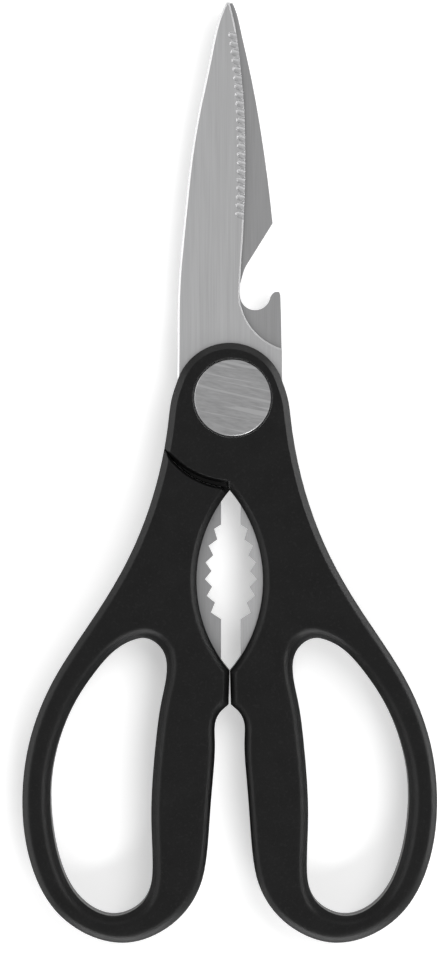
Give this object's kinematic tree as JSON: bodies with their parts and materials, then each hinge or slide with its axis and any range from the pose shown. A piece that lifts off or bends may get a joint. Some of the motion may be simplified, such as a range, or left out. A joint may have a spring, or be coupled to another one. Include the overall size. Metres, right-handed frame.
{
  "type": "kitchen shears",
  "caption": "Closed kitchen shears with moulded loop handles, a fine-toothed blade, a bottle-opener notch and toothed jaws between the handles.",
  "frame": {"origin": "on the pivot's axis, at the back face that the shears lie on", "axes": "+Y towards the tips of the blades, +Z along the pivot towards the front of the shears, +X to the right seen from the front"},
  "size_m": [0.0948, 0.2151, 0.012],
  "materials": {
    "blade_steel": "finely brushed along the blade",
    "cap_steel": "brushed across, with a bright rounded rim",
    "pivot_steel": "turned",
    "handle_plastic": "black, moulded with a fine grain",
    "washer_plastic": "smooth"
  },
  "bodies": {
    "back_half": {"back_blade": "blade_steel", "left_handle_back_shell": "handle_plastic", "left_handle_front_shell": "handle_plastic", "front_pivot_cap": "cap_steel", "back_pivot_cap": "cap_steel", "pivot_barrel": "pivot_steel", "pivot_screw": "pivot_steel", "spring_washer": "pivot_steel", "thrust_washer": "washer_plastic", "blade_washer": "washer_plastic"},
    "front_half": {"front_blade": "blade_steel", "right_handle_front_shell": "handle_plastic", "right_handle_back_shell": "handle_plastic"}
  },
  "joints": [
    {"name": "blade_pivot", "type": "hinge", "parent": "back_half", "child": "front_half", "pos_m": [0, 0, 0.006], "axis": [0, 0, 1], "range_deg": [0, 80]}
  ]
}
